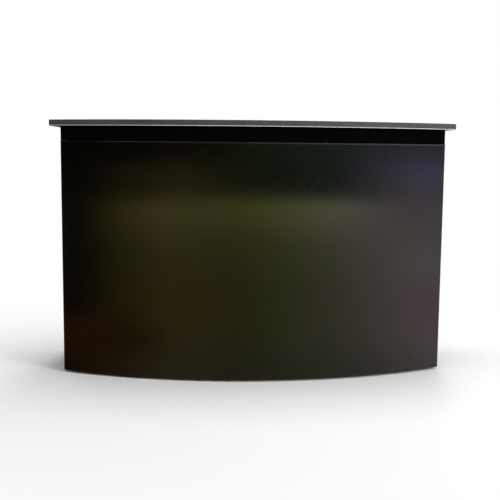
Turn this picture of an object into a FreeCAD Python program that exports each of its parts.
# A curved bar counter: a bowed, laminate-faced front under an overhanging bar top, with an
# open back where a deck and a shelf stand between two end panels, on levelling feet.
# Millimetres, +Z up. Customers stand on the -Y side. The origin is on the floor, under the
# middle of the bar top. Left and right are as seen from the customers' side.
import FreeCAD, Part
import math
import os

# Overall sizes
counter_height = 1100.0  # floor to the upper face of the bar top
body_width = 1670.0  # outside to outside of the end laminates
front_radius = 1900.0  # outer face of the bowed front, seen in plan
top_depth = 640.0  # foremost point of the bar top to its back edge
floor_gap = 10.0  # floor to the lower edges of the front and the end panels

# Bar top
top_core_thickness = 24.0
top_sheet_thickness = 1.0  # the laminate above the core, and the backing sheet below it
front_overhang = 25.0
end_overhang = 50.0
back_overhang = 20.0
top_corner_radius = 30.0
trim_face_thickness = 3.0
trim_edge_radius = 2.4
trim_spine_length = 9.0
trim_spine_thickness = 2.2
trim_groove_clearance = 0.15

# Bowed front
front_ply_thickness = 8.0
front_sheet_thickness = 1.0
fascia_height = 64.0
fascia_thickness = 5.0  # thinner than the panel below, so the fascia stands back from it
cap_wall = 1.2
cap_lip_height = 5.0
cap_edge_radius = 0.9
glue_line = 0.2  # between a curved inner face and the edge that is scribed to it

# Carcase
board_thickness = 18.0
end_sheet_thickness = 1.0
edging_thickness = 2.0
edging_corner_radius = 1.2
deck_height = 88.0  # floor to the upper face of the deck
shelf_height = 560.0  # floor to the upper face of the shelf
fascia_former_width = 60.0
top_former_width = 110.0
back_rail_height = 80.0
plinth_setback = 50.0
cleat_size = 20.0
cleat_end_clearance = 10.0

# Angle brackets under the bar top
bracket_leg = 30.0
bracket_width = 20.0
bracket_thickness = 2.5
bracket_bend_radius = 1.5  # inside the bend
bracket_hole_clearance = 0.25
bracket_hole_from_corner = 19.0
bracket_from_rail = 60.0  # front of the back rail to the nearest bracket on an end panel
bracket_spacing = 120.0  # between the two brackets on an end panel
rail_bracket_x = 400.0

# Wood screws
screw_head_radius = 4.0
screw_head_height = 2.6
screw_crown_radius = 0.6  # the small flat on top of the rounded head
screw_shank_radius = 2.0
screw_tip_length = 4.0
screw_point_radius = 0.2  # the blunt end of the tip
bracket_screw_length = 16.0
cleat_screw_length = 32.0
former_screw_length = 30.0
cleat_screw_count = 3
cleat_screw_from_end = 40.0
former_screw_count = 4
former_screw_spacing = 440.0

# Levelling feet
front_foot_x = 250.0
foot_block_size = 80.0
foot_block_height = 40.0
foot_block_clearance = 10.0
stem_radius = 5.0
thread_clearance = 0.05
stem_head_room = 4.0  # from the stem's upper end to the underside of the deck
stem_neck_radius = 4.2
stem_chamfer = 1.0
ball_radius = 7.0
ball_flat_radius = 0.8  # the small flat that turning leaves under the ball
ball_clearance = 0.1
ball_floor = 2.0  # pad material left under the ball's socket
collar_across_flats = 15.0
collar_height = 6.0
collar_above_pad = 4.0
key_across_flats = 5.0
key_depth = 6.0
pad_radius = 25.0
pad_rim_height = 4.0
pad_rim_chamfer = 1.0
pad_hub_radius = 11.0
pad_shoulder_radius = 14.0
pad_hub_above_ball = 4.0  # the socket's lip stands this far above the ball's centre
nut_flange_radius = 13.0
nut_flange_thickness = 1.5
nut_barrel_radius = 6.7
nut_barrel_length = 14.0
block_bore_clearance = 0.75
access_hole_radius = 6.0
access_cap_radius = 9.0
access_cap_thickness = 1.5
access_plug_length = 8.0
access_plug_clearance = 0.1

# Places worked out from the sizes above
half_body = body_width / 2
half_core = half_body - end_sheet_thickness
half_inside = half_core - board_thickness
half_top = half_body + end_overhang
half_board = board_thickness / 2
top_radius = front_radius + front_overhang
top_back_y = top_depth / 2
back_y = top_back_y - back_overhang
arc_centre_y = top_radius - top_depth / 2
sheet_radius = front_radius - front_sheet_thickness
former_radius = sheet_radius - front_ply_thickness
fascia_radius = former_radius + fascia_thickness
scribe_radius = former_radius - glue_line
top_under = counter_height - 2 * top_sheet_thickness - top_core_thickness
core_under = top_under + top_sheet_thickness
fascia_under = top_under - fascia_height
panel_top = fascia_under - cap_wall
deck_under = deck_height - board_thickness
shelf_under = shelf_height - board_thickness
rail_front_y = back_y - board_thickness
plinth_back_y = back_y - plinth_setback
plinth_front_y = plinth_back_y - board_thickness
edged_back_y = back_y - edging_thickness
edged_rail_y = rail_front_y - edging_thickness
block_under = deck_under - foot_block_height
half_block = foot_block_size / 2
ball_centre_z = ball_floor + ball_radius + ball_clearance
pad_height = ball_centre_z + pad_hub_above_ball
collar_under = pad_height + collar_above_pad
stem_top = deck_under - stem_head_room


def vector(x, y, z):
    return FreeCAD.Vector(x, y, z)


def arc_y(x, radius):
    """Y of the bowed front at x, for a face of that radius about the common centre."""
    return arc_centre_y - math.sqrt(radius**2 - x**2)


def bow(radius, x_from, x_to):
    """The stretch of an arc of the bowed front that lies between two values of x."""
    middle = (x_from + x_to) / 2
    points = [vector(x, arc_y(x, radius), 0) for x in (x_from, middle, x_to)]
    return Part.Arc(*points).toShape()


def line(start, end):
    return Part.LineSegment(vector(*start, 0), vector(*end, 0)).toShape()


def prism(edges, z, height):
    """A plan outline at z = 0, lifted to z and extruded upwards."""
    face = Part.Face(Part.Wire(edges))
    face.translate(vector(0, 0, z))
    return face.extrude(vector(0, 0, height))


def bowed_board(radius, x_from, x_to, back, z, height):
    """A board with a bowed front edge, square sides and a straight back."""
    right_front = (x_to, arc_y(x_to, radius))
    left_front = (x_from, arc_y(x_from, radius))
    edges = [
        bow(radius, x_from, x_to),
        line(right_front, (x_to, back)),
        line((x_to, back), (x_from, back)),
        line((x_from, back), left_front),
    ]
    return prism(edges, z, height)


def bowed_strip(outer_radius, inner_radius, half_width, z, height):
    """A bent strip between two radii, cut square at both ends."""
    outer_end = arc_y(half_width, outer_radius)
    inner_end = arc_y(half_width, inner_radius)
    edges = [
        bow(outer_radius, -half_width, half_width),
        line((half_width, outer_end), (half_width, inner_end)),
        bow(inner_radius, -half_width, half_width),
        line((-half_width, inner_end), (-half_width, outer_end)),
    ]
    return prism(edges, z, height)


def block(low, high):
    size = [b - a for a, b in zip(low, high)]
    return Part.makeBox(*size, vector(*low))


def cylinder(radius, height, x, y, z):
    return Part.makeCylinder(radius, height, vector(x, y, z))


def hexagon(across_flats, height, z):
    """An upright six-sided prism on the Z axis."""
    corner_radius = across_flats / math.sqrt(3)
    angles = [math.radians(60 * i) for i in range(7)]
    points = [vector(corner_radius * math.cos(a), corner_radius * math.sin(a), z) for a in angles]
    return Part.Face(Part.makePolygon(points)).extrude(vector(0, 0, height))


def turned(profile):
    """A solid of revolution about Z, from edges in the XZ plane."""
    return Part.Face(Part.Wire(profile)).revolve(vector(0, 0, 0), vector(0, 0, 1), 360)


def turned_points(points):
    """A solid of revolution about Z, from straight runs between (radius, z) points."""
    corners = [vector(r, 0, z) for r, z in points]
    return turned([Part.makePolygon(corners + corners[:1])])


def mirrored(solid):
    """The same piece for the other end of the counter."""
    return solid.mirror(vector(0, 0, 0), vector(1, 0, 0))


# Bar top
def top_block(inset, z, height):
    """The bar top's outline, drawn in by inset all round, with its upright corners rounded."""
    half_width = half_top - inset
    slab = bowed_board(top_radius - inset, -half_width, half_width, top_back_y - inset, z, height)
    upright = [e for e in slab.Edges if e.BoundBox.ZLength > height / 2]
    return slab.makeFillet(top_corner_radius - inset, upright)


def spine_ring(length, thickness):
    """The flat ring that the trim's spine fills, halfway up the core's edge."""
    z = core_under + (top_core_thickness - thickness) / 2
    outer = top_block(trim_face_thickness, z, thickness)
    return outer.cut(top_block(trim_face_thickness + length, z, thickness))


def top_core():
    core = top_block(trim_face_thickness, core_under, top_core_thickness)
    groove = spine_ring(
        trim_spine_length + trim_groove_clearance,
        trim_spine_thickness + 2 * trim_groove_clearance,
    )
    return core.cut(groove)


def top_laminate():
    return top_block(trim_face_thickness, core_under + top_core_thickness, top_sheet_thickness)


def top_backing():
    return top_block(trim_face_thickness, top_under, top_sheet_thickness)


def top_edge_trim():
    """A T-section bent round the bar top: a rounded face, and a spine in the core's groove."""
    height = counter_height - top_under
    outside = top_block(0, top_under, height)
    rims = [e for e in outside.Edges if e.BoundBox.ZLength < trim_edge_radius / 2]
    outside = outside.makeFillet(trim_edge_radius, rims)
    face = outside.cut(top_block(trim_face_thickness, top_under, height))
    return face.fuse(spine_ring(trim_spine_length, trim_spine_thickness)).removeSplitter()


# Bowed front
def front_panel_ply():
    return bowed_strip(sheet_radius, former_radius, half_core, floor_gap, panel_top - floor_gap)


def front_laminate():
    """The sheet on the bowed panel; at both ends it covers the end laminate's front edge."""
    return bowed_strip(front_radius, sheet_radius, half_body, floor_gap, panel_top - floor_gap)


def panel_cap():
    """An angle over the panel's upper edge, with a lip down its face."""
    outer = front_radius + cap_wall
    flange = bowed_strip(outer, former_radius, half_body, panel_top, cap_wall)
    lip = bowed_strip(outer, front_radius, half_body, panel_top - cap_lip_height, cap_lip_height)
    cap = flange.fuse(lip).removeSplitter()
    nose = [
        e
        for e in cap.Edges
        if e.BoundBox.ZLength < cap_wall / 2
        and abs(e.BoundBox.ZMin - fascia_under) < cap_wall / 2
        and abs(e.BoundBox.YMin - arc_y(0, outer)) < cap_wall / 2
    ]
    return cap.makeFillet(cap_edge_radius, nose)


def fascia_rail():
    return bowed_strip(fascia_radius, former_radius, half_core, fascia_under, fascia_height)


# Carcase
def end_panel():
    height = top_under - floor_gap
    return bowed_board(scribe_radius, half_inside, half_core, edged_back_y, floor_gap, height)


def end_laminate():
    """The sheet on an end panel; it runs on over the ends of the bowed panel and the fascia."""
    stretches = (
        (sheet_radius, floor_gap, panel_top),
        (scribe_radius, panel_top, fascia_under),
        (fascia_radius, fascia_under, top_under),
    )
    lower, notch, upper = [
        bowed_board(radius, half_core, half_body, edged_back_y, z_from, z_to - z_from)
        for radius, z_from, z_to in stretches
    ]
    return lower.fuse([notch, upper]).removeSplitter()


def deck():
    board = bowed_board(
        scribe_radius, -half_inside, half_inside, edged_back_y, deck_under, board_thickness
    )
    holes = [
        cylinder(access_hole_radius, board_thickness, x, y, deck_under)
        for x, y in foot_places().values()
    ]
    return board.cut(holes)


def shelf():
    return bowed_board(
        scribe_radius, -half_inside, half_inside, edged_rail_y, shelf_under, board_thickness
    )


def top_former():
    inner = scribe_radius - top_former_width
    z = top_under - board_thickness
    return bowed_strip(scribe_radius, inner, half_inside, z, board_thickness)


def fascia_former():
    """A bent rib behind the joint where the fascia meets the panel's capping."""
    inner = scribe_radius - fascia_former_width
    return bowed_strip(scribe_radius, inner, half_inside, fascia_under - half_board, board_thickness)


def divider_board(z_from, z_to):
    front = arc_y(half_board, scribe_radius)
    return block((-half_board, front, z_from), (half_board, edged_rail_y, z_to))


def divider_lower():
    return divider_board(deck_height, shelf_under)


def divider_upper():
    """Housed over the two bent ribs; its edging butts against the back rail."""
    return divider_board(shelf_height, top_under).cut([fascia_former(), top_former()])


def back_rail():
    z = top_under - back_rail_height
    return block((-half_inside, rail_front_y, z), (half_inside, back_y, top_under))


def back_plinth():
    low = (-half_inside, plinth_front_y, floor_gap)
    return block(low, (half_inside, plinth_back_y, deck_under))


def cleat_run(back):
    """Front and back ends of a cleat on an end panel's inner face."""
    front = arc_y(half_inside - cleat_size, scribe_radius) + cleat_end_clearance
    return front, back - cleat_end_clearance


def cleat_pair(z_top, back):
    front, rear = cleat_run(back)
    low = (half_inside - cleat_size, front, z_top - cleat_size)
    right = block(low, (half_inside, rear, z_top))
    return [mirrored(right), right]


def deck_cleats():
    return cleat_pair(deck_under, plinth_front_y)


def shelf_cleats():
    return cleat_pair(shelf_under, edged_rail_y)


# Edging strips on the edges that face the bartender
def edging(x_from, x_to, front, z_from, z_to):
    """A strip whose two long corners on the bartender's side are rounded."""
    strip = block((x_from, front, z_from), (x_to, front + edging_thickness, z_to))
    long_enough = (x_to - x_from + z_to - z_from) / 2
    corners = [
        e
        for e in strip.Edges
        if e.Length > long_enough and e.BoundBox.YMin > front + edging_thickness / 2
    ]
    return strip.makeFillet(edging_corner_radius, corners)


def end_panel_edging():
    right = edging(half_inside, half_body, edged_back_y, floor_gap, top_under)
    return [mirrored(right), right]


def deck_edging():
    return edging(-half_inside, half_inside, edged_back_y, deck_under, deck_height)


def shelf_edging():
    return edging(-half_inside, half_inside, edged_rail_y, shelf_under, shelf_height)


def divider_edging():
    return [
        edging(-half_board, half_board, edged_rail_y, z_from, z_to)
        for z_from, z_to in ((deck_height, shelf_under), (shelf_height, top_under))
    ]


# Brackets and screws
def screw(length):
    """A round-headed wood screw that points down, seated at the origin."""
    crown = vector(screw_crown_radius, 0, screw_head_height)
    head_rim = vector(screw_head_radius, 0, 0)
    spread = screw_head_radius**2 - screw_crown_radius**2
    centre_z = screw_head_height / 2 - spread / (2 * screw_head_height)
    dome_radius = math.hypot(screw_head_radius, centre_z)
    upper = math.atan2(screw_crown_radius, screw_head_height - centre_z)
    lower = math.atan2(screw_head_radius, -centre_z)
    middle = (upper + lower) / 2
    dome_middle = vector(
        dome_radius * math.sin(middle), 0, centre_z + dome_radius * math.cos(middle)
    )
    dome = Part.Arc(crown, dome_middle, head_rim)
    path = [
        head_rim,
        vector(screw_shank_radius, 0, 0),
        vector(screw_shank_radius, 0, screw_tip_length - length),
        vector(screw_point_radius, 0, -length),
        vector(0, 0, -length),
        vector(0, 0, screw_head_height),
        crown,
    ]
    return turned([dome.toShape(), Part.makePolygon(path)])


def placed(solid, axis, angle, x, y, z):
    turn = FreeCAD.Rotation(vector(*axis), angle)
    moved = solid.copy()
    moved.Placement = FreeCAD.Placement(vector(x, y, z), turn).multiply(solid.Placement)
    return moved


def bracket_places():
    """(x, y, turn about Z) of each bracket's corner; at no turn it stands off a wall towards +X."""
    near = rail_front_y - bracket_from_rail
    rows = (near, near - bracket_spacing)
    on_ends = [(side * half_inside, y, turn) for side, turn in ((-1, 0), (1, 180)) for y in rows]
    on_rail = [(side * rail_bracket_x, rail_front_y, -90) for side in (-1, 1)]
    return on_ends + on_rail


def bracket():
    """An angle whose corner is at the origin, under the bar top and against a wall."""
    half_width = bracket_width / 2
    down = block((0, -half_width, -bracket_leg), (bracket_thickness, half_width, 0))
    across = block((0, -half_width, -bracket_thickness), (bracket_leg, half_width, 0))
    angle = down.fuse(across).removeSplitter()
    for corner, bend in (
        (bracket_thickness, bracket_bend_radius),
        (0, bracket_bend_radius + bracket_thickness),
    ):
        middle = vector(corner, 0, -corner)
        fold = [e for e in angle.Edges if e.CenterOfMass.distanceToPoint(middle) < bend / 2]
        angle = angle.makeFillet(bend, fold)
    radius = screw_shank_radius + bracket_hole_clearance
    upright_hole = cylinder(radius, bracket_leg, bracket_hole_from_corner, 0, -bracket_leg)
    wall_hole = Part.makeCylinder(
        radius, bracket_leg, vector(0, 0, -bracket_hole_from_corner), vector(1, 0, 0)
    )
    return angle.cut([upright_hole, wall_hole])


def bracket_screw_pair():
    """The bracket's two screws: one up into the bar top, one into the wall."""
    wood_screw = screw(bracket_screw_length)
    reach = bracket_hole_from_corner
    up = placed(wood_screw, (1, 0, 0), 180, reach, 0, -bracket_thickness)
    into_wall = placed(wood_screw, (0, 1, 0), 90, bracket_thickness, 0, -reach)
    return [up, into_wall]


def at_brackets(solid):
    return [placed(solid, (0, 0, 1), turn, x, y, top_under) for x, y, turn in bracket_places()]


def top_brackets():
    return at_brackets(bracket())


def bracket_screws():
    return [moved for one in bracket_screw_pair() for moved in at_brackets(one)]


def cleat_screws():
    """Screws through each cleat into its end panel."""
    wood_screw = screw(cleat_screw_length)
    found = []
    for z_top, back in ((deck_under, plinth_front_y), (shelf_under, edged_rail_y)):
        front, rear = cleat_run(back)
        first = front + cleat_screw_from_end
        step = (rear - cleat_screw_from_end - first) / (cleat_screw_count - 1)
        for i in range(cleat_screw_count):
            place = (half_inside - cleat_size, first + i * step, z_top - cleat_size / 2)
            right = placed(wood_screw, (0, 1, 0), -90, *place)
            found += [mirrored(right), right]
    return found


def former_screws():
    """Screws up through the top former into the bar top."""
    wood_screw = screw(former_screw_length)
    radius = scribe_radius - top_former_width / 2
    found = []
    for i in range(former_screw_count):
        x = (i - (former_screw_count - 1) / 2) * former_screw_spacing
        z = top_under - board_thickness
        found.append(placed(wood_screw, (1, 0, 0), 180, x, arc_y(x, radius), z))
    return found


# Levelling feet
def foot_places():
    """Name to (x, y) of each foot: four behind the bowed front and two at the back."""
    side_x = half_inside - cleat_size - foot_block_clearance - half_block
    room = half_block + foot_block_clearance
    back_row_y = plinth_front_y - room
    places = {}
    for side, word in ((-1, "left"), (1, "right")):
        for row, x in (("front", front_foot_x), ("side", side_x)):
            places[f"{row}_{word}"] = (side * x, arc_y(x + half_block, scribe_radius) + room)
        places[f"back_{word}"] = (side * side_x, back_row_y)
    return places


def at_feet(solid):
    return [solid.translated(vector(x, y, 0)) for x, y in foot_places().values()]


def foot_blocks():
    """Blocks under the deck, bored for the nut's barrel and, above it, for the stem."""
    cube = block((-half_block, -half_block, block_under), (half_block, half_block, deck_under))
    barrel = cylinder(nut_barrel_radius, nut_barrel_length, 0, 0, block_under)
    bore = cylinder(stem_radius + block_bore_clearance, foot_block_height, 0, 0, block_under)
    return at_feet(cube.cut([barrel, bore]))


def foot_nuts():
    flange_under = block_under - nut_flange_thickness
    flange = cylinder(nut_flange_radius, nut_flange_thickness, 0, 0, flange_under)
    barrel = cylinder(nut_barrel_radius, nut_barrel_length, 0, 0, block_under)
    height = nut_flange_thickness + nut_barrel_length
    bore = cylinder(stem_radius + thread_clearance, height, 0, 0, flange_under)
    return at_feet(flange.fuse(barrel).cut(bore))


def access_caps():
    """Caps on the deck, over the holes that a key goes through to turn the stems."""
    top = cylinder(access_cap_radius, access_cap_thickness, 0, 0, deck_height)
    radius = access_hole_radius - access_plug_clearance
    plug = cylinder(radius, access_plug_length, 0, 0, deck_height - access_plug_length)
    return at_feet(top.fuse(plug))


def ball(radius):
    """A ball on the Z axis, with a small flat at its lowest point."""
    lowest = -math.degrees(math.acos(ball_flat_radius / radius))
    return Part.makeSphere(radius, vector(0, 0, ball_centre_z), vector(0, 0, 1), lowest, 90, 360)


def foot_pad():
    """A moulded pad with a round socket that the stem's ball snaps into."""
    pad = turned_points([
        (0, 0),
        (pad_radius - pad_rim_chamfer, 0),
        (pad_radius, pad_rim_chamfer),
        (pad_radius, pad_rim_height),
        (pad_shoulder_radius, ball_centre_z),
        (pad_hub_radius, pad_height),
        (0, pad_height),
    ])
    return pad.cut(ball(ball_radius + ball_clearance))


def foot_stem():
    """A screw with a ball at its foot, a collar for a spanner and a key socket on top."""
    neck = cylinder(stem_neck_radius, collar_under - ball_centre_z, 0, 0, ball_centre_z)
    collar = hexagon(collar_across_flats, collar_height, collar_under)
    shank_under = collar_under + collar_height
    shank = turned_points([
        (0, shank_under),
        (stem_radius, shank_under),
        (stem_radius, stem_top - stem_chamfer),
        (stem_radius - stem_chamfer, stem_top),
        (0, stem_top),
    ])
    socket = hexagon(key_across_flats, key_depth, stem_top - key_depth)
    return ball(ball_radius).fuse([neck, collar, shank]).cut(socket)


def feet():
    nodes = {}
    for name, (x, y) in foot_places().items():
        nodes[f"foot_pad_{name}"] = foot_pad().translated(vector(x, y, 0))
        nodes[f"foot_stem_{name}"] = foot_stem().translated(vector(x, y, 0))
    return nodes


def drilled(solid, *screws):
    """The piece with a hole for each screw that goes into it."""
    near = [s for group in screws for s in group if s.BoundBox.intersect(solid.BoundBox)]
    return solid.cut(near) if near else solid


def counter():
    """Every piece of the counter, by name: one solid, or several of the same kind."""
    bracket_set, cleat_set, former_set = bracket_screws(), cleat_screws(), former_screws()
    right_end = drilled(end_panel(), bracket_set, cleat_set)
    nodes = {
        "top_core": drilled(top_core(), bracket_set, former_set),
        "top_laminate": top_laminate(),
        "top_backing": drilled(top_backing(), bracket_set, former_set),
        "top_edge_trim": top_edge_trim(),
        "front_panel_ply": front_panel_ply(),
        "front_laminate": front_laminate(),
        "panel_cap": panel_cap(),
        "fascia_rail": fascia_rail(),
        "end_panel_left": mirrored(right_end),
        "end_panel_right": right_end,
        "end_laminate_left": mirrored(end_laminate()),
        "end_laminate_right": end_laminate(),
        "deck": deck(),
        "shelf": shelf(),
        "top_former": drilled(top_former(), former_set),
        "fascia_former": fascia_former(),
        "divider_lower": divider_lower(),
        "divider_upper": divider_upper(),
        "back_rail": drilled(back_rail(), bracket_set),
        "back_plinth": back_plinth(),
        "deck_cleats": [drilled(c, cleat_set) for c in deck_cleats()],
        "shelf_cleats": [drilled(c, cleat_set) for c in shelf_cleats()],
        "end_panel_edging": end_panel_edging(),
        "deck_edging": deck_edging(),
        "shelf_edging": shelf_edging(),
        "divider_edging": divider_edging(),
        "top_brackets": top_brackets(),
        "bracket_screws": bracket_set,
        "cleat_screws": cleat_set,
        "former_screws": former_set,
        "foot_blocks": foot_blocks(),
        "foot_nuts": foot_nuts(),
        "access_caps": access_caps(),
    }
    nodes.update(feet())
    return nodes


def main():
    os.makedirs("parts", exist_ok=True)
    for name, made in counter().items():
        shape = Part.makeCompound(made) if isinstance(made, list) else made
        shape.exportStep(f"parts/{name}.step")
        solids = len(shape.Solids)
        print(f"{name}: {solids} solid(s), {shape.Volume / 1000:.1f} cm3, valid {shape.isValid()}")


main()
